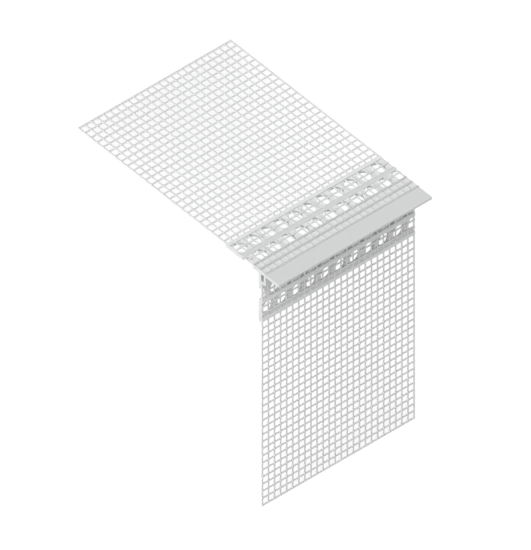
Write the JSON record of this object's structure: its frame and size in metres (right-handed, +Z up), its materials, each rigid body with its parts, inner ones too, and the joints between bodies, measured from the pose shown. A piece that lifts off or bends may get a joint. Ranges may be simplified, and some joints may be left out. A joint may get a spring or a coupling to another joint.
{
  "type": "window sill connection profile",
  "caption": "Perforated plastic edge profile with two strips of glass-fibre mesh, which joins a window sill to the rendered insulation below it.",
  "frame": {"origin": "on the floor, below the middle of the part as it rests on the outer edges of its two mesh strips", "axes": "+X along the extrusion, +Y from the front mesh strip to the upper one, +Z up from the floor"},
  "size_m": [0.1, 0.1956, 0.0895],
  "materials": {
    "profile": "satin, extruded",
    "mesh": "coated glass-fibre yarn"
  },
  "bodies": {
    "root": {"sill_profile": "profile", "top_mesh_front": "mesh", "top_mesh_middle": "mesh", "top_mesh_back": "mesh", "leg_mesh_upper": "mesh", "leg_mesh_middle": "mesh", "leg_mesh_lower": "mesh"}
  },
  "joints": []
}
